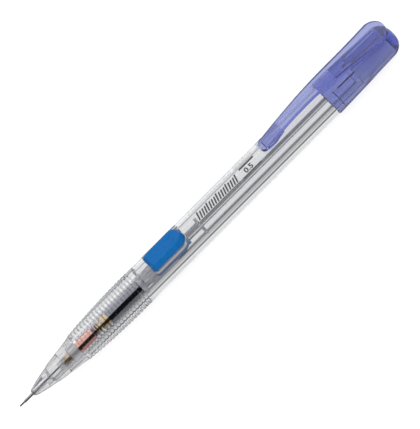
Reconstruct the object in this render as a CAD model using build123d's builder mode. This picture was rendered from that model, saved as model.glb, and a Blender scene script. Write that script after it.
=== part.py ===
from build123d import *
import os
from math import radians, tan

os.makedirs("parts", exist_ok=True)

# A clear side-click mechanical pencil for 0.5 mm lead, lying along X with its
# point towards -X and its clip and button on top (+Z). All sizes are in mm.
# Stations along the pencil are measured from the mouth of the steel guide pipe,
# and heights are measured from the barrel's axis.

# --- overall -----------------------------------------------------------------
cap_end = 146.0                 # station of the rounded end of the cap
lead_out = 1.75                 # lead showing past the guide pipe
cap_rim_r = 5.64                # the widest round part, which rests on the table
mid_station = (cap_end - lead_out) / 2
axis_z = cap_rim_r

# --- clearances --------------------------------------------------------------
seat_gap = 0.02                 # between pieces that are fitted together
run_gap = 0.05                  # radial, between pieces that slide
click = 1.2                     # travel of the button and of the mechanism

# --- writing lead and guide pipe ---------------------------------------------
lead_r = 0.25
writing_lead_length = 44.0
pipe_r = 0.45
pipe_bore_r = 0.28
pipe_length = 6.5

# --- nose cone ---------------------------------------------------------------
nose_front = 3.3
nose_step = 10.7                # the cone's outline steps out a little here
nose_rear = 15.6                # joint with the barrel
nose_spigot_end = 18.4
nose_spigot_r = 2.58
nose_grip_end = 4.0             # the cone holds the pipe up to here
nose_bore_r = 0.55              # and is bored wider around it from there on
retainer_front = 8.4
retainer_end = 10.0
retainer_r = 1.2
chamber_r = 1.56                # chamber that the jaws open into
ring_chamber_r = 1.66           # wider chamber that the clutch ring slides in
ring_stop_front = 13.9          # frosted ring that stops the clutch ring
ring_stop_rear = 15.85
ring_stop_bore_r = 1.27

# --- barrel ------------------------------------------------------------------
fine_grip_end = 21.2
fine_ring_count = 9
fine_ring_depth = 0.07
grip_end = 45.5
grip_ring_count = 20
grip_ring_depth = 0.24
groove_half_width = 0.22        # the grooves between the rings are narrow
ring_crown = 0.08               # rise of each ring's rounded top
grip_front_r = 4.6
grip_max_r = 5.6
grip_widest = 43.0              # station of the widest ring
barrel_r = 5.45
barrel_bore_r = 3.05
front_bore_r = 2.6
shoulder_front = 21.7           # inner rim that the front bush rests on
shoulder_rear = 22.5
shoulder_hole_r = 1.95
flat_start = 46.8               # the flat on top runs from here to the rear
flat_height = 4.1
bevel_start = 3.4               # half width of the flat inside its narrow bevels
bevel_slope = tan(radians(20))
barrel_shoulder = 119.5         # the cap's rim meets the barrel here
neck_r = 4.7
neck_end = 130.4

# --- button and its window ---------------------------------------------------
button_front = 51.6
button_rear = 64.6
button_half_width = 3.3
button_top_half_width = 2.0
button_draft_height = 6.5       # height where the drafted sides would be cut
skirt_bottom = 2.75
window_floor = 1.5
window_gap = 0.08
button_roof = 4.2
leg_inner = 1.45                # the legs straddle the slider's lead channel
leg_outer = 2.4
leg_foot = 0.3
leg_toe = 58.0                  # station of the toe of the 45 degree ramp
leg_rear = 62.2
lug_outer = 2.8
lug_top = 0.95

# --- clutch mechanism --------------------------------------------------------
chuck_front = 14.9
chuck_head = 15.9
chuck_head_end = 16.7
chuck_rear = 31.7
chuck_tip_r = 0.6
chuck_head_r = 1.2
chuck_stem_r = 0.92
chuck_bore_r = 0.28
chuck_rear_bore_r = 0.5
slit_width = 0.22
slit_end = 23.5
clutch_ring_front = 16.8
clutch_ring_rear = 18.3
clutch_ring_r = 1.6
bush_end = 24.0
bush_spigot_r = 1.7
sleeve_end = 27.65
sleeve_r = 1.9
sleeve_bore_r = 1.72
spring_end = 30.5
spring_wire_r = 0.16
spring_coil_r = 1.48
spring_turns = 9
collar_front = 30.6
collar_shoulder = 32.8
collar_r = 1.85
collar_end = 34.6
tube_end = 45.85
tube_r = 2.37
tube_bore_r = 2.14
flange_front = 45.0
flange_rear = 45.9

# --- slider ------------------------------------------------------------------
slider_front = 45.95
slider_block_end = 53.0
slider_rear = 70.2
slider_disc_front = 69.3
slider_top = 1.5
slider_bottom = -1.6
slider_step = 49.9              # the block is taller from here to the window
slider_step_end = 51.3
slider_step_top = 1.95
slider_step_half_width = 2.2
channel_r = 0.9
channel_bore_r = 0.6

# --- eraser and cap ----------------------------------------------------------
plug_front = 128.7              # clear plug that closes the bore and holds the eraser
eraser_r = 3.9
eraser_end = 142.9
pin_front = 123.9               # clean-out pin, fixed in the plug
pin_rear = 133.5
pin_r = 0.24
cap_rim = 119.6
cap_cavity_end = 143.4
cap_mouth_end = 122.3           # the mouth of the cap is a little wider
clip_tip = 96.6
clip_thickness = 1.4
pad_start = 98.0
pad_end = 104.9
pad_half_width = 1.5
clip_root_start = 125.5
clip_root_end = 141.9
clip_root_half_width = 1.6

side = Plane(origin=(-mid_station, 0, axis_z), x_dir=(1, 0, 0), z_dir=(0, -1, 0))
pencil_axis = Axis((0, 0, axis_z), (1, 0, 0))


def plan(height):
    """Plane that looks down on the pencil at a height above its axis."""
    return Plane(origin=(-mid_station, 0, axis_z + height), x_dir=(1, 0, 0), z_dir=(0, 0, 1))


def station(s):
    """Plane across the pencil at a station, with its local y axis upwards."""
    return Plane(origin=(s - mid_station, 0, axis_z), x_dir=(0, 1, 0), z_dir=(1, 0, 0))


def grip_radius(s):
    """Radius of the grip's crests, which swell towards the button."""
    return grip_max_r - (grip_max_r - grip_front_r) * ((grip_widest - s) / (grip_widest - fine_grip_end)) ** 2


def fine_grip_radius(s):
    """Radius of the fine rings between the nose cone and the grip."""
    along = (s - nose_rear) / (fine_grip_end - nose_rear)
    return 3.58 + (grip_front_r - grip_ring_depth - 3.58) * along ** 1.4


# --- guide pipe: thin steel tube that holds the lead at the point -------------
with BuildPart() as guide_pipe:
    with BuildSketch(side):
        with BuildLine():
            Polyline(
                (0, pipe_bore_r),
                (0, pipe_r - 0.1),
                (0.1, pipe_r),
                (pipe_length, pipe_r),
                (pipe_length, pipe_bore_r),
                close=True,
            )
        make_face()
    revolve(axis=pencil_axis)

# --- lead retainer: soft sleeve that keeps the lead from falling back ---------
with BuildPart() as lead_retainer:
    with BuildSketch(side):
        with BuildLine():
            Polyline(
                (retainer_front + seat_gap, lead_r + seat_gap),
                (retainer_front + seat_gap, retainer_r - seat_gap),
                (retainer_end, retainer_r - seat_gap),
                (retainer_end, 0.6),
                (retainer_end - 0.5, lead_r + seat_gap),
                close=True,
            )
        make_face()
    revolve(axis=pencil_axis)

# --- nose cone: clear, screwed into the front of the barrel -------------------
nose_wall = [(3.9, 1.2), (5.5, 1.66), (7.2, 2.06), (8.9, 2.42), (nose_step, 2.72)]
nose_rear_wall = [(nose_step + 0.1, 2.84), (12.2, 3.1), (13.9, 3.34), (nose_rear, 3.55)]
with BuildPart() as nose_cone:
    with BuildSketch(side):
        with BuildLine():
            Polyline(
                (nose_front, pipe_r),
                (nose_front, 0.85),
                *nose_wall,
                *nose_rear_wall,
                (nose_rear, nose_spigot_r),
                (nose_spigot_end, nose_spigot_r),
                (nose_spigot_end, ring_chamber_r),
                (nose_rear, ring_chamber_r),
                (nose_rear, chamber_r),
                (nose_step, chamber_r),
                (retainer_end, retainer_r),
                (retainer_front, retainer_r),
                (retainer_front, nose_bore_r),
                (nose_grip_end + 0.2, nose_bore_r),
                (nose_grip_end, pipe_r),
                close=True,
            )
        make_face()
    revolve(axis=pencil_axis)

# --- ring stop: frosted plastic ring in the nose cone's chamber ----------------
with BuildPart() as ring_stop:
    with BuildSketch(side):
        with BuildLine():
            Polyline(
                (ring_stop_front, ring_stop_bore_r),
                (ring_stop_front, chamber_r - seat_gap),
                (ring_stop_rear, chamber_r - seat_gap),
                (ring_stop_rear, ring_stop_bore_r),
                close=True,
            )
        make_face()
    revolve(axis=pencil_axis)

# --- barrel: clear tube with a ringed grip, a flat on top and the window ------
with BuildPart() as barrel:
    with BuildSketch(side):
        with BuildLine():
            fine_pitch = (fine_grip_end - nose_rear) / fine_ring_count
            for i in range(fine_ring_count):
                start = nose_rear + i * fine_pitch
                ThreePointArc(
                    (start, fine_grip_radius(start)),
                    (start + fine_pitch / 2, fine_grip_radius(start + fine_pitch / 2) + fine_ring_depth),
                    (start + fine_pitch, fine_grip_radius(start + fine_pitch)),
                )
            pitch = (grip_end - fine_grip_end) / grip_ring_count
            for i in range(grip_ring_count):
                start = fine_grip_end + i * pitch
                end = start + pitch
                Line(
                    (start, grip_radius(start) - grip_ring_depth),
                    (start + groove_half_width, grip_radius(start + groove_half_width) - ring_crown),
                )
                ThreePointArc(
                    (start + groove_half_width, grip_radius(start + groove_half_width) - ring_crown),
                    (start + pitch / 2, grip_radius(start + pitch / 2)),
                    (end - groove_half_width, grip_radius(end - groove_half_width) - ring_crown),
                )
                Line(
                    (end - groove_half_width, grip_radius(end - groove_half_width) - ring_crown),
                    (end, grip_radius(end) - grip_ring_depth),
                )
            Polyline(
                (grip_end, grip_radius(grip_end) - grip_ring_depth),
                (grip_end + 0.4, barrel_r),
                (barrel_shoulder, barrel_r),
                (barrel_shoulder, neck_r),
                (neck_end - 0.3, neck_r),
                (neck_end, neck_r - 0.3),
                (neck_end, barrel_bore_r),
                (shoulder_rear, barrel_bore_r),
                (shoulder_rear, shoulder_hole_r),
                (shoulder_front, shoulder_hole_r),
                (shoulder_front, front_bore_r),
                (nose_rear, front_bore_r),
                (nose_rear, fine_grip_radius(nose_rear)),
            )
        make_face()
    revolve(axis=pencil_axis)
    # flat on top, for the button and the printed panel
    with BuildSketch(side):
        with BuildLine():
            Polyline(
                (flat_start, flat_height + 1.6),
                (flat_start + 0.8, flat_height),
                (neck_end + 1, flat_height),
                (neck_end + 1, flat_height + 1.6),
                close=True,
            )
        make_face()
    extrude(amount=barrel_r, both=True, mode=Mode.SUBTRACT)
    with BuildSketch(station(flat_start + 0.8)):
        for sign in (-1, 1):
            with BuildLine():
                Polyline(
                    (sign * bevel_start, flat_height),
                    (sign * bevel_start, barrel_r),
                    (sign * barrel_r, barrel_r),
                    (sign * barrel_r, flat_height - (barrel_r - bevel_start) * bevel_slope),
                    close=True,
                )
            make_face()
    extrude(amount=barrel_shoulder - flat_start - 0.8, mode=Mode.SUBTRACT)
    # window for the button, which breaks into the bore
    with BuildSketch(plan(window_floor)) as window:
        with Locations(((button_front + button_rear) / 2, 0)):
            Rectangle(button_rear - button_front + 2 * window_gap, 2 * (button_half_width + window_gap))
        fillet(window.vertices().group_by(Axis.X)[0], 0.88)
        fillet(window.vertices().group_by(Axis.X)[-1], 2.88)
    extrude(amount=flat_height, mode=Mode.SUBTRACT)

# --- front bush: guides the chuck and seats the return spring -----------------
with BuildPart() as front_bush:
    with BuildSketch(side):
        with BuildLine():
            Polyline(
                (nose_spigot_end + seat_gap, chuck_stem_r + run_gap),
                (nose_spigot_end + seat_gap, front_bore_r - seat_gap),
                (shoulder_front - seat_gap, front_bore_r - seat_gap),
                (shoulder_front - seat_gap, bush_spigot_r),
                (bush_end, bush_spigot_r),
                (bush_end, chuck_stem_r + run_gap),
                close=True,
            )
        make_face()
    revolve(axis=pencil_axis)

# --- clutch sleeve: copper-coloured tube on the bush, around the spring -------
with BuildPart() as clutch_sleeve:
    with BuildSketch(side):
        with BuildLine():
            Polyline(
                (shoulder_front + seat_gap, sleeve_bore_r),
                (shoulder_front + seat_gap, sleeve_r),
                (sleeve_end - 0.95, sleeve_r),
                (sleeve_end - 0.95, sleeve_r - 0.09),
                (sleeve_end - 0.7, sleeve_r - 0.09),
                (sleeve_end - 0.7, sleeve_r),
                (sleeve_end, sleeve_r),
                (sleeve_end, sleeve_bore_r),
                close=True,
            )
        make_face()
    revolve(axis=pencil_axis)

# --- chuck: brass, with three jaws that grip the lead -------------------------
with BuildPart() as chuck:
    with BuildSketch(side):
        with BuildLine():
            Polyline(
                (chuck_front, chuck_bore_r),
                (chuck_front, chuck_tip_r - 0.25),
                (chuck_front + 0.3, chuck_tip_r),
                (chuck_head - 0.4, chuck_tip_r + 0.1),
                (chuck_head, chuck_head_r),
                (chuck_head_end - 0.15, chuck_head_r),
                (chuck_head_end, chuck_head_r - 0.15),
                (chuck_head_end, chuck_stem_r),
                (chuck_rear, chuck_stem_r),
                (chuck_rear, chuck_rear_bore_r),
                (chuck_head_end + 0.6, chuck_rear_bore_r),
                (chuck_head_end, chuck_bore_r),
                close=True,
            )
        make_face()
    revolve(axis=pencil_axis)
    # three slits part the jaws
    with BuildSketch(station(chuck_front - 0.1)):
        with PolarLocations(0, 3, start_angle=90):
            Rectangle(2 * chuck_head_r, slit_width, align=(Align.MIN, Align.CENTER))
    extrude(amount=slit_end - chuck_front + 0.1, mode=Mode.SUBTRACT)

# --- clutch ring: closes the jaws until it meets its stop ---------------------
with BuildPart() as clutch_ring:
    with BuildSketch(side):
        with BuildLine():
            Polyline(
                (clutch_ring_front, chuck_stem_r + run_gap),
                (clutch_ring_front, clutch_ring_r - 0.12),
                (clutch_ring_front + 0.12, clutch_ring_r),
                (clutch_ring_rear - 0.12, clutch_ring_r),
                (clutch_ring_rear, clutch_ring_r - 0.12),
                (clutch_ring_rear, chuck_stem_r + run_gap),
                close=True,
            )
        make_face()
    revolve(axis=pencil_axis)

# --- return spring: pushes the mechanism back after a click -------------------
with BuildPart() as return_spring:
    spring_start = bush_end + spring_wire_r + seat_gap
    spring_height = spring_end - spring_wire_r - seat_gap - spring_start
    with BuildLine() as coil:
        Helix(
            pitch=spring_height / spring_turns,
            height=spring_height,
            radius=spring_coil_r,
            center=(spring_start - mid_station, 0, axis_z),
            direction=(1, 0, 0),
        )
    with BuildSketch(Plane(origin=coil.line @ 0, z_dir=coil.line % 0)):
        Circle(spring_wire_r)
    sweep(is_frenet=True)

# --- spring collar: brass, joins the chuck to the steel tube ------------------
with BuildPart() as spring_collar:
    with BuildSketch(side):
        with BuildLine():
            Polyline(
                (collar_front, chuck_stem_r + seat_gap),
                (collar_front, collar_r - 0.15),
                (collar_front + 0.15, collar_r),
                (collar_shoulder, collar_r),
                (collar_shoulder, tube_bore_r - seat_gap),
                (collar_end, tube_bore_r - seat_gap),
                (collar_end, tube_bore_r - 0.3),
                (chuck_rear + 0.6, chuck_rear_bore_r),
                (chuck_rear + seat_gap, chuck_rear_bore_r),
                (chuck_rear + seat_gap, chuck_stem_r + seat_gap),
                close=True,
            )
        make_face()
    revolve(axis=pencil_axis)

# --- mechanism tube: bright steel tube that feeds leads to the chuck ----------
with BuildPart() as mechanism_tube:
    with BuildSketch(side):
        with BuildLine():
            Polyline(
                (collar_shoulder + seat_gap, tube_bore_r),
                (collar_shoulder + seat_gap, tube_r - 0.1),
                (collar_shoulder + 0.12, tube_r),
                (tube_end, tube_r),
                (tube_end, tube_bore_r),
                close=True,
            )
        make_face()
    revolve(axis=pencil_axis)

# --- tube flange: plastic ring that centres the steel tube in the bore --------
with BuildPart() as tube_flange:
    with BuildSketch(side):
        with BuildLine():
            Polyline(
                (flange_front, tube_r + seat_gap),
                (flange_front, barrel_bore_r - run_gap - 0.1),
                (flange_front + 0.1, barrel_bore_r - run_gap),
                (flange_rear, barrel_bore_r - run_gap),
                (flange_rear, tube_r + seat_gap),
                close=True,
            )
        make_face()
    revolve(axis=pencil_axis)

# --- slider: carries the ramps that turn the button's press into a push -------
ramp_sum = leg_toe + leg_foot - run_gap * 1.4    # station plus height along the ramp
with BuildPart() as slider:
    # front guide disc, lead channel and rear guide disc
    with BuildSketch(side):
        with BuildLine():
            Polyline(
                (slider_front, channel_bore_r),
                (slider_front, barrel_bore_r - run_gap),
                (slider_front + 0.9, barrel_bore_r - run_gap),
                (slider_front + 0.9, channel_r),
                (slider_disc_front, channel_r),
                (slider_disc_front, barrel_bore_r - run_gap),
                (slider_rear, barrel_bore_r - run_gap),
                (slider_rear, channel_bore_r + 0.8),
                (slider_rear - 0.8, channel_bore_r),
                close=True,
            )
        make_face()
    revolve(axis=pencil_axis)
    # block in front of the window, stepped down to the two ramps
    with BuildSketch(side):
        with BuildLine():
            Polyline(
                (slider_front + 0.5, slider_bottom),
                (slider_front + 0.5, slider_top),
                (slider_block_end, slider_top),
                (slider_block_end, slider_bottom),
                close=True,
            )
        make_face()
    extrude(amount=leg_outer, both=True)
    with BuildSketch(side):
        with Locations(((slider_step + slider_step_end) / 2, slider_top)):
            Rectangle(slider_step_end - slider_step, 2 * (slider_step_top - slider_top))
    extrude(amount=slider_step_half_width, both=True)
    # slanted pocket in each side of the block
    for sign in (-1, 1):
        with BuildSketch(side.offset(sign * (leg_outer + channel_r + 0.3) / 2)):
            with BuildLine():
                Polyline((47.0, 1.0), (48.3, 1.0), (50.6, slider_bottom), (47.0, slider_bottom), close=True)
            make_face()
        extrude(amount=(leg_outer - channel_r - 0.3) / 2, both=True, mode=Mode.SUBTRACT)
    for sign in (-1, 1):
        with BuildSketch(side.offset(sign * (leg_outer + leg_inner) / 2)):
            with BuildLine():
                Polyline(
                    (slider_block_end - 0.2, slider_bottom),
                    (slider_block_end - 0.2, slider_top),
                    (ramp_sum - slider_top, slider_top),
                    (ramp_sum - slider_bottom, slider_bottom),
                    close=True,
                )
            make_face()
        extrude(amount=(leg_outer - leg_inner) / 2, both=True)
    # lead channel, kept open through the block
    with BuildSketch(station(slider_front - 0.1)):
        Circle(channel_bore_r)
    extrude(amount=slider_block_end - slider_front + 1, mode=Mode.SUBTRACT)

# --- side button: opaque cap on a skirt, with two ramped legs ------------------
with BuildPart() as side_button:
    middle = (button_front + button_rear) / 2
    with BuildSketch(plan(skirt_bottom)) as skirt:
        with Locations((middle, 0)):
            Rectangle(button_rear - button_front, 2 * button_half_width)
        fillet(skirt.vertices().group_by(Axis.X)[0], 0.8)
        fillet(skirt.vertices().group_by(Axis.X)[-1], 2.8)
    extrude(amount=flat_height - skirt_bottom)
    with BuildSketch(plan(flat_height)) as base:
        with Locations((middle, 0)):
            Rectangle(button_rear - button_front, 2 * button_half_width)
        fillet(base.vertices().group_by(Axis.X)[0], 0.8)
        fillet(base.vertices().group_by(Axis.X)[-1], 2.8)
    with BuildSketch(plan(button_draft_height)) as crown:
        with Locations((middle + 0.2, 0)):
            Rectangle(button_rear - button_front - 2.4, 2 * button_top_half_width)
        fillet(crown.vertices().group_by(Axis.X)[0], 0.5)
        fillet(crown.vertices().group_by(Axis.X)[-1], 1.8)
    loft()
    # top face: a shallow saddle that rises to a thumb stop at the rear
    with BuildSketch(side.offset(-button_half_width)):
        with BuildLine():
            Spline((51.0, 5.68), (54.0, 5.64), (57.5, 5.6), (60.2, 5.7), (62.2, 5.95), (63.4, 5.85), (64.9, 5.1))
            Polyline((64.9, 5.1), (64.9, 8.0), (51.0, 8.0), (51.0, 5.68))
        make_face()
    extrude(amount=2 * button_half_width, mode=Mode.SUBTRACT)
    # hollow inside
    with BuildSketch(plan(skirt_bottom - 0.1)):
        with Locations((middle, 0)):
            RectangleRounded(button_rear - button_front - 2.0, 5.0, 0.6)
    extrude(amount=button_roof - skirt_bottom + 0.1, mode=Mode.SUBTRACT)
    # two legs with 45 degree faces that push the slider forwards
    for sign in (-1, 1):
        leg_plane = side.offset(-sign * (leg_outer + leg_inner) / 2)
        with BuildSketch(leg_plane):
            with BuildLine():
                Polyline(
                    (leg_toe + leg_foot - button_roof - 0.1, button_roof + 0.1),
                    (leg_toe, leg_foot),
                    (leg_rear, leg_foot),
                    (leg_rear, button_roof + 0.1),
                    close=True,
                )
            make_face()
        extrude(amount=(leg_outer - leg_inner) / 2, both=True)
        lug_plane = side.offset(-sign * (lug_outer + leg_inner) / 2)
        with BuildSketch(lug_plane):
            with Locations(((leg_rear + leg_toe + 1.5) / 2, (leg_foot + lug_top) / 2)):
                Rectangle(leg_rear - leg_toe - 1.5, lug_top - leg_foot)
        extrude(amount=(lug_outer - leg_inner) / 2, both=True)
    top_edges = side_button.edges().filter_by_position(Axis.Z, axis_z + 5.0, axis_z + 7.0)
    fillet(top_edges, 0.18)

# --- writing lead, held by the retainer and gripped by the jaws ---------------
with BuildPart() as writing_lead:
    with BuildSketch(station(-lead_out)):
        Circle(lead_r)
    extrude(amount=writing_lead_length)
    chamfer(writing_lead.faces().sort_by(Axis.X)[0].edges(), 0.1)

# --- eraser plug: clear, closes the bore and holds the eraser -----------------
with BuildPart() as eraser_plug:
    with BuildSketch(side):
        with BuildLine():
            Polyline(
                (plug_front, pin_r + seat_gap),
                (plug_front, barrel_bore_r - run_gap - 0.2),
                (plug_front + 0.2, barrel_bore_r - run_gap),
                (neck_end + run_gap, barrel_bore_r - run_gap),
                (neck_end + run_gap, pin_r + seat_gap),
                close=True,
            )
        make_face()
    revolve(axis=pencil_axis)

# --- clean-out pin: wire on the plug, for clearing the guide pipe --------------
with BuildPart() as cleaning_pin:
    with BuildSketch(station(pin_front)):
        Circle(pin_r)
    extrude(amount=pin_rear - pin_front)
    fillet(cleaning_pin.edges().sort_by(Axis.X)[0], 0.15)

# --- eraser: on the plug, under the cap ----------------------------------------
with BuildPart() as eraser:
    eraser_front = neck_end + run_gap + seat_gap
    with BuildSketch(station(eraser_front)):
        Circle(eraser_r)
    extrude(amount=eraser_end - eraser_front)
    chamfer(eraser.edges().sort_by(Axis.X)[-1], 0.25)
    with BuildSketch(station(eraser_front)):
        Circle(pin_r + seat_gap)
    extrude(amount=pin_rear + seat_gap - eraser_front, mode=Mode.SUBTRACT)


# --- cap: violet end cap with its clip moulded on ------------------------------
def clip_half_width(s):
    """Half width of the clip, seen from above: narrow at the tip, wide at the end."""
    along = (s - clip_tip) / (140.0 - clip_tip)
    return 1.75 + 2.2 * along ** 2.2


clip_top = [(clip_tip, 6.15), (100.7, 6.95), (104.7, 7.6), (111.4, 8.35), (117.5, 8.65),
            (125.3, 8.3), (133.2, 7.5), (140.2, 6.85), (145.9, 6.3)]
clip_under = [(s, h - clip_thickness) for s, h in clip_top]
with BuildPart() as clip:
    with BuildSketch(side):
        with BuildLine():
            Spline(*clip_top)
            Line(clip_top[-1], clip_under[-1])
            Spline(*reversed(clip_under))
            Line(clip_under[0], clip_top[0])
        make_face()
    extrude(amount=5.0, both=True)
    # seen from above: a long drop with a round narrow tip and a round wide end
    with BuildSketch(plan(3.0)):
        with BuildLine():
            edge_stations = [99.2, 107.0, 115.0, 123.0, 131.0, 137.0, 141.6]
            near_edge = [(s, -clip_half_width(s)) for s in edge_stations]
            far_edge = [(s, clip_half_width(s)) for s in reversed(edge_stations)]
            Spline(*near_edge)
            ThreePointArc(near_edge[-1], (145.6, 0), far_edge[0])
            Spline(*far_edge)
            ThreePointArc(far_edge[-1], (clip_tip, 0), near_edge[0])
        make_face()
    extrude(amount=8.0, mode=Mode.INTERSECT)
    # pad under the tip, which rides on the flat of the barrel
    with BuildSketch(side):
        with BuildLine():
            Polyline(
                (pad_start, 5.4),
                (pad_start + 0.5, flat_height + 0.25),
                (pad_start + 1.6, flat_height + run_gap),
                (pad_start + 3.0, flat_height + run_gap),
                (pad_end, 5.3),
                (pad_end, 6.6),
                (pad_start, 5.9),
                close=True,
            )
        make_face()
    extrude(amount=pad_half_width, both=True)

with BuildPart() as cap_cavity:
    with BuildSketch(side):
        with BuildLine():
            Polyline(
                (cap_rim - 1, 0),
                (cap_rim - 1, neck_r + 0.3),
                (cap_mouth_end - 0.2, neck_r + 0.3),
                (cap_mouth_end, neck_r + run_gap),
                (neck_end + 0.3, neck_r + run_gap),
                (neck_end + 3.5, eraser_r + 0.35),
                (cap_cavity_end - 0.5, eraser_r + 0.15),
                (cap_cavity_end, eraser_r - 0.35),
                (cap_cavity_end, 0),
                close=True,
            )
        make_face()
    revolve(axis=pencil_axis)
    # the cavity has the barrel's flat, so the clip stays in line with the button
    with BuildSketch(side):
        with BuildLine():
            Polyline(
                (cap_rim - 2, flat_height + run_gap),
                (cap_rim - 2, 6.0),
                (neck_end + 0.9, 6.0),
                (neck_end + 0.9, flat_height + run_gap),
                close=True,
            )
        make_face()
    extrude(amount=6.0, both=True, mode=Mode.SUBTRACT)

with BuildPart() as cap:
    with BuildSketch(side):
        with BuildLine():
            Polyline((141.6, 4.94), (134.9, 5.16), (129.8, 5.38), (cap_rim + 0.2, cap_rim_r),
                     (cap_rim, cap_rim_r - 0.2), (cap_rim, 0), (cap_end, 0))
            ThreePointArc((cap_end, 0), (145.93, 1.3), (145.6, 2.5))
            ThreePointArc((145.6, 2.5), (144.2, 4.15), (141.6, 4.94))
        make_face()
    revolve(axis=pencil_axis)
    add(clip.part)
    # rib that carries the clip
    with BuildSketch(side):
        with BuildLine():
            Polyline(
                (clip_root_start, 5.0),
                (clip_root_start, 7.3),
                (133.0, 6.6),
                (clip_root_end, 5.8),
                (clip_root_end, 4.6),
                close=True,
            )
        make_face()
    extrude(amount=clip_root_half_width, both=True)
    add(cap_cavity.part, mode=Mode.SUBTRACT)

pieces = {
    "guide_pipe": guide_pipe,
    "lead_retainer": lead_retainer,
    "nose_cone": nose_cone,
    "ring_stop": ring_stop,
    "barrel": barrel,
    "front_bush": front_bush,
    "clutch_sleeve": clutch_sleeve,
    "chuck": chuck,
    "clutch_ring": clutch_ring,
    "return_spring": return_spring,
    "spring_collar": spring_collar,
    "mechanism_tube": mechanism_tube,
    "tube_flange": tube_flange,
    "slider": slider,
    "side_button": side_button,
    "writing_lead": writing_lead,
    "eraser_plug": eraser_plug,
    "cleaning_pin": cleaning_pin,
    "eraser": eraser,
    "cap": cap,
}
for label, piece in pieces.items():
    piece.part.label = label
    export_step(piece.part, f"parts/{label}.step")
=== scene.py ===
import math
import bmesh
import bpy
from mathutils import Matrix, Vector


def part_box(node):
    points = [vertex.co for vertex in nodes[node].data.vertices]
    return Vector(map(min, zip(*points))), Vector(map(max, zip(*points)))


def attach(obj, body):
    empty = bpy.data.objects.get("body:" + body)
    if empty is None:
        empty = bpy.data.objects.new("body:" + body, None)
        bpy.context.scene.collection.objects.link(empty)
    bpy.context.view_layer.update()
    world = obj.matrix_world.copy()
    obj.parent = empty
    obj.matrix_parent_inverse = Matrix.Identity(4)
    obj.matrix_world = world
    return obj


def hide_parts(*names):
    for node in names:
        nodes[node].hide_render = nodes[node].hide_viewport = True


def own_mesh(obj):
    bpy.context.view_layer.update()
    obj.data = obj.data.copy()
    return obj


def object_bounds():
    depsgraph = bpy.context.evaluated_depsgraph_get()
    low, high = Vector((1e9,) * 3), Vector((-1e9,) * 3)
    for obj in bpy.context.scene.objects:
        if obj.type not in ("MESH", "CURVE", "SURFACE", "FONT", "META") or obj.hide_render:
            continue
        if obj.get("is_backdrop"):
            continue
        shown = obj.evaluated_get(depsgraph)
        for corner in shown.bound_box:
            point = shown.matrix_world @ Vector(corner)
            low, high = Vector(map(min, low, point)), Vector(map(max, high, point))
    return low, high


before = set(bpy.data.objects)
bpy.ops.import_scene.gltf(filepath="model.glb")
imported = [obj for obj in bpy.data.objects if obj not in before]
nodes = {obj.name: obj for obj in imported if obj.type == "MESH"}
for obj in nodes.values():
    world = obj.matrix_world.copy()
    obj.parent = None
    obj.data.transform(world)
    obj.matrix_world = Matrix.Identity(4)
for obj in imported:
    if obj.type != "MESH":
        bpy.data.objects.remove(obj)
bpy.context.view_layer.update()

MM = 0.001
scene = bpy.context.scene
barrel_low, barrel_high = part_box("barrel")
axis_z = (barrel_low.z + barrel_high.z) / 2
flat_height = 4.1 * MM  # of the barrel's flat above the axis


# --- node helpers ------------------------------------------------------------
def feed(tree, target, value):
    """Links an output to an input, or sets the input to a plain value."""
    if isinstance(value, bpy.types.NodeSocket):
        tree.links.new(value, target)
    else:
        target.default_value = value


def compute(tree, operation, first, second=None):
    """A Math node on outputs or numbers."""
    node = tree.nodes.new("ShaderNodeMath")
    node.operation = operation
    feed(tree, node.inputs[0], first)
    if second is not None:
        feed(tree, node.inputs[1], second)
    return node.outputs["Value"]


def compute_vector(tree, operation, first, second=None):
    """A Vector Math node on outputs or vectors."""
    node = tree.nodes.new("ShaderNodeVectorMath")
    node.operation = operation
    feed(tree, node.inputs[0], first)
    if second is not None:
        feed(tree, node.inputs[1], second)
    return node.outputs["Vector"]


def ramp(tree, source, low, high, at_low=0.0, at_high=1.0):
    """Goes from low to high while the source goes from at_low to at_high."""
    node = tree.nodes.new("ShaderNodeMapRange")
    node.inputs["From Min"].default_value = at_low
    node.inputs["From Max"].default_value = at_high
    node.inputs["To Min"].default_value = low
    node.inputs["To Max"].default_value = high
    tree.links.new(source, node.inputs["Value"])
    return node.outputs["Result"]


def mix(tree, factor, first, second, kind="RGBA"):
    """Mixes two RGBA colours, or two numbers with the kind FLOAT."""
    node = tree.nodes.new("ShaderNodeMix")
    node.data_type = kind
    feed(tree, node.inputs["Factor"], factor)
    feed(tree, node.inputs["A"], first)
    feed(tree, node.inputs["B"], second)
    return node.outputs["Result"]


def tint(tree, factor, first, second):
    """Mixes two plain RGB colours."""
    return mix(tree, factor, (*first, 1), (*second, 1))


def object_place(tree):
    """The object's own coordinates, in metres."""
    return tree.nodes.new("ShaderNodeTexCoord").outputs["Object"]


def axes(tree, vector):
    """A vector's X, Y and Z outputs."""
    node = tree.nodes.new("ShaderNodeSeparateXYZ")
    tree.links.new(vector, node.inputs["Vector"])
    return node.outputs


def noise(tree, scale, detail, stretch=(1, 1, 1)):
    """Noise in the object's own coordinates; a small stretch makes long marks."""
    mapping = tree.nodes.new("ShaderNodeMapping")
    mapping.inputs["Scale"].default_value = stretch
    texture = tree.nodes.new("ShaderNodeTexNoise")
    texture.inputs["Scale"].default_value = scale
    texture.inputs["Detail"].default_value = detail
    tree.links.new(object_place(tree), mapping.inputs["Vector"])
    tree.links.new(mapping.outputs["Vector"], texture.inputs["Vector"])
    return texture.outputs["Fac"]


def vary(tree, shader, source, first, second, roughness, spread):
    """Lets the colour and the roughness follow a noise."""
    tree.links.new(tint(tree, source, first, second), shader.inputs["Base Color"])
    rough = ramp(tree, source, roughness * spread[0], roughness * spread[1], 0.3, 0.7)
    tree.links.new(rough, shader.inputs["Roughness"])


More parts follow.
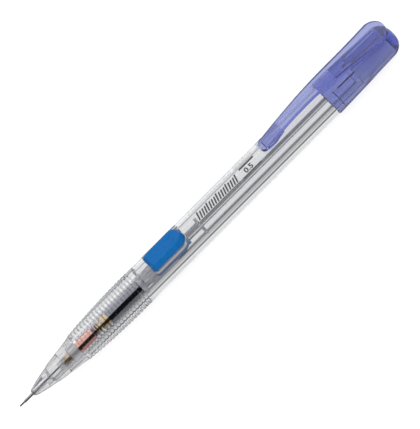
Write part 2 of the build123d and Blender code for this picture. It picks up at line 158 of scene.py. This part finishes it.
def bump(tree, shader, source, strength, depth):
    """Fine relief on a shader; depth is in metres."""
    node = tree.nodes.new("ShaderNodeBump")
    node.inputs["Strength"].default_value = strength
    node.inputs["Distance"].default_value = depth
    tree.links.new(source, node.inputs["Height"])
    tree.links.new(node.outputs["Normal"], shader.inputs["Normal"])


# --- materials ---------------------------------------------------------------
plastic_ior = 1.57
drawn_lengthwise = (0.1, 1, 1)
moulding_flow = (0.15, 1, 1)


def new_material(name):
    """A node material with its tree and its Principled shader."""
    material = bpy.data.materials.new(name)
    material.use_nodes = True
    return material, material.node_tree, material.node_tree.nodes["Principled BSDF"]


def clear_plastic(name, first, second, roughness=0.01):
    """Transparent moulding with faint flow streaks and haze."""
    material, tree, shader = new_material(name)
    shader.inputs["Transmission Weight"].default_value = 1.0
    shader.inputs["IOR"].default_value = plastic_ior
    vary(tree, shader, noise(tree, 900, 3, moulding_flow), first, second, roughness, (0.5, 1.6))
    return material


def translucent(name, first, second, share, roughness):
    """Milky moulding: a share of the light goes through, the rest scatters at the surface."""
    material = clear_plastic(name, first, second, roughness)
    shader = material.node_tree.nodes["Principled BSDF"]
    shader.inputs["Transmission Weight"].default_value = share
    return material


def absorb(material, color, density):
    """Colours a clear moulding by its thickness; density is per metre."""
    tree = material.node_tree
    volume = tree.nodes.new("ShaderNodeVolumeAbsorption")
    volume.inputs["Color"].default_value = (*color, 1)
    volume.inputs["Density"].default_value = density
    output = next(n for n in tree.nodes if n.type == "OUTPUT_MATERIAL")
    tree.links.new(volume.outputs["Volume"], output.inputs["Volume"])


def metal(name, first, second, roughness, scale=3000, stretch=(1, 1, 1)):
    """Turned or drawn metal with fine marks."""
    material, tree, shader = new_material(name)
    shader.inputs["Metallic"].default_value = 1.0
    marks = noise(tree, scale, 4, stretch)
    vary(tree, shader, marks, first, second, roughness, (0.7, 1.3))
    bump(tree, shader, marks, 0.1, 0.01 * MM)
    return material


def plastic(name, first, second, roughness, scale=1500):
    """Opaque moulding with a fine satin grain."""
    material, tree, shader = new_material(name)
    grain = noise(tree, scale, 4)
    vary(tree, shader, grain, first, second, roughness, (0.8, 1.2))
    bump(tree, shader, grain, 0.15, 0.02 * MM)
    return material


def paint(piece, material):
    """Gives a piece its one material."""
    piece.data.materials.clear()
    piece.data.materials.append(material)


clear_colors = (0.95, 0.958, 0.98), (0.975, 0.98, 0.995)
clear = clear_plastic("clear_moulding", *clear_colors)
barrel_clear = clear_plastic("barrel_moulding", *clear_colors)
nose_clear = translucent("nose_moulding", (0.94, 0.94, 0.97), (0.97, 0.97, 0.99), 0.94, 0.01)
bush_clear = translucent("bush_moulding", (0.94, 0.94, 0.98), (0.97, 0.97, 1.0), 0.7, 0.15)
violet = translucent("violet_moulding", (0.64, 0.67, 0.93), (0.69, 0.72, 0.95), 0.95, 0.03)
absorb(violet, (0.15, 0.24, 0.8), 320)
milky = translucent("milky_moulding", (0.64, 0.64, 0.68), (0.74, 0.74, 0.78), 0.45, 0.3)
frosted = translucent("frosted_moulding", (0.95, 0.95, 0.99), (0.98, 0.98, 1.0), 0.8, 0.1)
retainer_clear = clear_plastic("retainer_moulding", (0.92, 0.92, 0.95), (0.96, 0.96, 0.98), 0.08)
steel = metal("drawn_steel", (0.42, 0.4, 0.39), (0.52, 0.5, 0.48), 0.22, 2500, drawn_lengthwise)
bright_steel = metal("bright_steel", (0.26, 0.27, 0.3), (0.34, 0.35, 0.38), 0.07, 2500, drawn_lengthwise)
spring_steel = metal("spring_wire", (0.2, 0.2, 0.21), (0.3, 0.3, 0.31), 0.25)
copper = metal("copper_sleeve", (0.78, 0.38, 0.3), (0.95, 0.58, 0.5), 0.1, 1200)
brass = metal("turned_brass", (0.74, 0.54, 0.3), (0.9, 0.74, 0.5), 0.14, 1200)
graphite = plastic("graphite", (0.03, 0.03, 0.032), (0.06, 0.06, 0.065), 0.35, 6000)
blue = plastic("blue_moulding", (0.0, 0.1, 0.325), (0.003, 0.115, 0.35), 0.3, 700)
blue.node_tree.nodes["Principled BSDF"].inputs["Specular IOR Level"].default_value = 0.15
ink = plastic("printed_ink", (0.035, 0.035, 0.045), (0.06, 0.06, 0.07), 0.5)
white_rubber = plastic("white_eraser", (0.84, 0.84, 0.87), (0.91, 0.91, 0.94), 0.8)

for name, material in {
    "barrel": barrel_clear, "nose_cone": nose_clear, "front_bush": bush_clear,
    "guide_pipe": steel, "lead_retainer": retainer_clear, "clutch_sleeve": copper,
    "return_spring": spring_steel, "ring_stop": frosted, "side_button": blue, "slider": milky,
    "tube_flange": clear, "mechanism_tube": bright_steel, "spring_collar": brass, "chuck": brass,
    "clutch_ring": brass, "writing_lead": graphite, "cap": violet, "eraser": white_rubber,
    "eraser_plug": clear, "cleaning_pin": spring_steel,
}.items():
    paint(nodes[name], material)


# --- the wall of the button's window: frosted, with a painted reflection of the button and a painted highlight ---
def inside_box(tree, low, high):
    """1 inside a box in the object's own coordinates, 0 outside."""
    off_middle = compute_vector(tree, "SUBTRACT", object_place(tree), (low + high) / 2)
    half_size = (high - low) / 2
    room = axes(tree, compute_vector(tree, "SUBTRACT", half_size, compute_vector(tree, "ABSOLUTE", off_middle)))
    least = compute(tree, "MINIMUM", compute(tree, "MINIMUM", room["X"], room["Y"]), room["Z"])
    return compute(tree, "GREATER_THAN", least, 0)


button_low, button_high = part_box("side_button")
gap = 0.15 * MM
wall_bottom, wall_top = axis_z + 1.4 * MM, axis_z + 4.05 * MM
# painted highlight: the height of a white line painted along the window's wall
painted_highlight_z = axis_z + 2.95 * MM
# painted reflection: the button's blue, painted on the window's wall round that line
painted_button_reflection = (0.2, 0.29, 0.52)

tree = barrel_clear.node_tree
shader = tree.nodes["Principled BSDF"]
wall = inside_box(tree, Vector((button_low.x - gap, button_low.y - gap, wall_bottom)),
                  Vector((button_high.x + gap, button_high.y + gap, wall_top)))
polish = shader.inputs["Roughness"].links[0].from_socket
tree.links.new(mix(tree, wall, polish, 0.6, "FLOAT"), shader.inputs["Roughness"])
tree.links.new(ramp(tree, wall, 1.0, 0.1), shader.inputs["Transmission Weight"])
# a painted reflection of the button's blue shows above and below a painted white highlight line
from_painted_highlight = compute(tree, "SUBTRACT", axes(tree, object_place(tree))["Z"], painted_highlight_z)
painted_highlight_line = ramp(tree, compute(tree, "ABSOLUTE", from_painted_highlight), 1, 0, 0.3 * MM, 0.6 * MM)
painted_light_color = tint(tree, painted_highlight_line, painted_button_reflection, (1, 1, 1))
plain_color = shader.inputs["Base Color"].links[0].from_socket
tree.links.new(mix(tree, wall, plain_color, painted_light_color), shader.inputs["Base Color"])

# --- return spring: a smooth coil with drawn-together end turns, in place of the part's spring ---
spring_low, spring_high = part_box("return_spring")
wire_r = 0.16 * MM
coil_r = (spring_high.y - spring_low.y) / 2 - wire_r
turns = 9
points_per_turn = 28
closed_ends = 0.03  # how far the end turns are drawn together, as a share of the length
coil_start = spring_low.x + wire_r
coil_length = spring_high.x - spring_low.x - 2 * wire_r

coil = bpy.data.curves.new("return_spring_coil", "CURVE")
coil.dimensions = "3D"
coil.bevel_depth = wire_r
coil.bevel_resolution = 4
coil.use_fill_caps = True
wire = coil.splines.new("POLY")
steps = turns * points_per_turn
wire.points.add(steps)
for i, point in enumerate(wire.points):
    share = i / steps
    eased = share - closed_ends * math.sin(2 * math.pi * share)
    turn = 2 * math.pi * turns * share
    point.co = (coil_start + coil_length * eased, coil_r * math.cos(turn), axis_z + coil_r * math.sin(turn), 1)
coil_curve = bpy.data.objects.new("return_spring_curve", coil)
scene.collection.objects.link(coil_curve)
spring = bpy.data.objects.new("return_spring_coil", bpy.data.meshes.new_from_object(coil_curve))
bpy.data.objects.remove(coil_curve)
scene.collection.objects.link(spring)
for polygon in spring.data.polygons:
    polygon.use_smooth = True
paint(spring, spring_steel)
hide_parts("return_spring")
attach(spring, "barrel")
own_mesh(spring)

# --- printed mark on the flat: slanted strokes, three rules and the lead size ------
ink_z = axis_z + flat_height + 0.01 * MM
mark_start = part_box("slider")[1].x + 0.3 * MM
stroke_count, stroke_pitch, stroke_width = 17, 0.93, 0.5


def stroke(mesh, x0, x1, y0, y1, lean=0.0):
    """One printed parallelogram, in mm from the mark's start and the pencil's middle."""
    corners = [(x0, y0), (x1, y0), (x1 + lean, y1), (x0 + lean, y1)]
    mesh.faces.new([mesh.verts.new((mark_start + x * MM, y * MM, ink_z)) for x, y in corners])


ink_mesh = bmesh.new()
for i in range(stroke_count):
    x = stroke_pitch * i
    top = 1.25 if i % 4 == 0 else 0.85
    stroke(ink_mesh, x, x + stroke_width, -1.6, top, 0.75)
stroke(ink_mesh, 0.1, 15.8, -2.02, -1.84)
stroke(ink_mesh, 17.6, 23.2, 0.85, 1.45, 0.15)
stroke(ink_mesh, 17.0, 24.0, -2.35, -1.9, 0.1)
mark_data = bpy.data.meshes.new("printed_mark")
ink_mesh.to_mesh(mark_data)
ink_mesh.free()
mark = bpy.data.objects.new("printed_mark", mark_data)
scene.collection.objects.link(mark)

size_text = bpy.data.curves.new("lead_size", "FONT")
size_text.body = "0.5"
size_text.size = 2.5 * MM
size_text.offset = 0.07 * MM
size_curve = bpy.data.objects.new("lead_size_curve", size_text)
size_curve.location = (mark_start + 18.6 * MM, -1.45 * MM, ink_z)
scene.collection.objects.link(size_curve)
size_mark = bpy.data.objects.new("lead_size", bpy.data.meshes.new_from_object(size_curve))
size_mark.matrix_world = Matrix.Translation(size_curve.location)
bpy.data.objects.remove(size_curve)
scene.collection.objects.link(size_mark)
for piece in (mark, size_mark):
    paint(piece, ink)
    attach(piece, "barrel")

# --- floor -------------------------------------------------------------------
floor_drop = 0.2 * MM  # keeps the floor from touching the barrel's faces
bpy.ops.mesh.primitive_plane_add(size=6, location=(0, 0, -floor_drop))
floor = bpy.context.object
floor.name = "floor"
floor_material, _, shader = new_material("pale_floor")
shader.inputs["Base Color"].default_value = (0.3, 0.3, 0.3, 1)
shader.inputs["Roughness"].default_value = 0.9
shader.inputs["Emission Color"].default_value = (1, 1, 1, 1)
shader.inputs["Emission Strength"].default_value = 0.8
paint(floor, floor_material)
# clear and shiny pieces show the studio below the table's level instead of the floor
floor.visible_transmission = False
floor.visible_glossy = False
floor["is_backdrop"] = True

# --- light -------------------------------------------------------------------
# A studio wrapped round the pencil: brightness by direction, in degrees round the
# X axis from +Y through straight up (90) and down (-90). It has a soft box above on
# the far side, a narrow dark card below and a wide dark card on the camera's side.
studio_tones = {
    -180: 0.45, -128: 0.45, -98: 0.65, -92: 0.12, -75: 0.1, -68: 0.8,
    10: 0.7, 22: 1.3, 44: 1.3, 54: 0.85, 118: 0.85, 121: 0.015, 176: 0.015,
}
brightest = max(studio_tones.values())
world = bpy.data.worlds.new("studio")
world.use_nodes = True
tree = world.node_tree
direction = axes(tree, tree.nodes.new("ShaderNodeTexCoord").outputs["Generated"])
angle = compute(tree, "ARCTAN2", direction["Z"], direction["Y"])
tones = tree.nodes.new("ShaderNodeValToRGB")
while len(tones.color_ramp.elements) < len(studio_tones):
    tones.color_ramp.elements.new(0.5)
for element, (degrees, tone) in zip(tones.color_ramp.elements, studio_tones.items()):
    element.position = degrees / 360 + 0.5
    grey = tone / brightest
    element.color = (grey, grey, grey, 1)
tree.links.new(ramp(tree, angle, 0, 1, -math.pi, math.pi), tones.inputs["Fac"])
# the studio is darker beyond the tip, and a little darker beyond the cap
toward_tip = ramp(tree, direction["X"], 0.35, 1.0, -0.6, -0.15)
toward_cap = ramp(tree, direction["X"], 1.0, 0.8, 0.15, 0.6)
studio = tree.nodes.new("ShaderNodeVectorMath")
studio.operation = "SCALE"
tree.links.new(tones.outputs["Color"], studio.inputs[0])
tree.links.new(compute(tree, "MULTIPLY", toward_tip, toward_cap), studio.inputs["Scale"])
# matte surfaces are lit by an even softbox overhead instead, without the dark cards
overhead = ramp(tree, direction["Z"], 0.2, 1.2, -1, 1)
matte = tree.nodes.new("ShaderNodeLightPath").outputs["Diffuse Depth"]
background = tree.nodes["Background"]
tree.links.new(mix(tree, matte, studio.outputs["Vector"], overhead), background.inputs["Color"])
background.inputs["Strength"].default_value = brightest
world.cycles.sampling_method = "NONE"
scene.world = world

# --- camera ------------------------------------------------------------------
low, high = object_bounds()
elevation = math.radians(54)
roll = math.radians(45.06)
distance = 2.0
view_height = 120.1 * MM
off_right, off_up = 0.956 * MM, 1.381 * MM  # from the pencil's middle to the picture's

back = Vector((0, -math.cos(elevation), math.sin(elevation)))
across = Vector((0, math.sin(elevation), math.cos(elevation)))
along = Vector((1, 0, 0))
right = math.cos(roll) * along - math.sin(roll) * across
up = math.sin(roll) * along + math.cos(roll) * across
pencil_middle = Vector(((low.x + high.x) / 2, 0, axis_z))
target = pencil_middle + right * off_right + up * off_up

camera_data = bpy.data.cameras.new("camera")
camera_data.sensor_width = 36
camera_data.lens = camera_data.sensor_width * distance / view_height
camera_data.clip_start = 0.1
camera_data.clip_end = 20
camera = bpy.data.objects.new("camera", camera_data)
rotation = Matrix((right, up, back)).transposed()
camera.matrix_world = Matrix.Translation(target + back * distance) @ rotation.to_4x4()
scene.collection.objects.link(camera)
scene.camera = camera

scene.view_settings.view_transform = "Standard"
# light passes through many clear walls on its way
scene.cycles.max_bounces = 32
scene.cycles.transmission_bounces = 32
scene.cycles.glossy_bounces = 32
scene.cycles.transparent_max_bounces = 32
scene.cycles.caustics_refractive = True
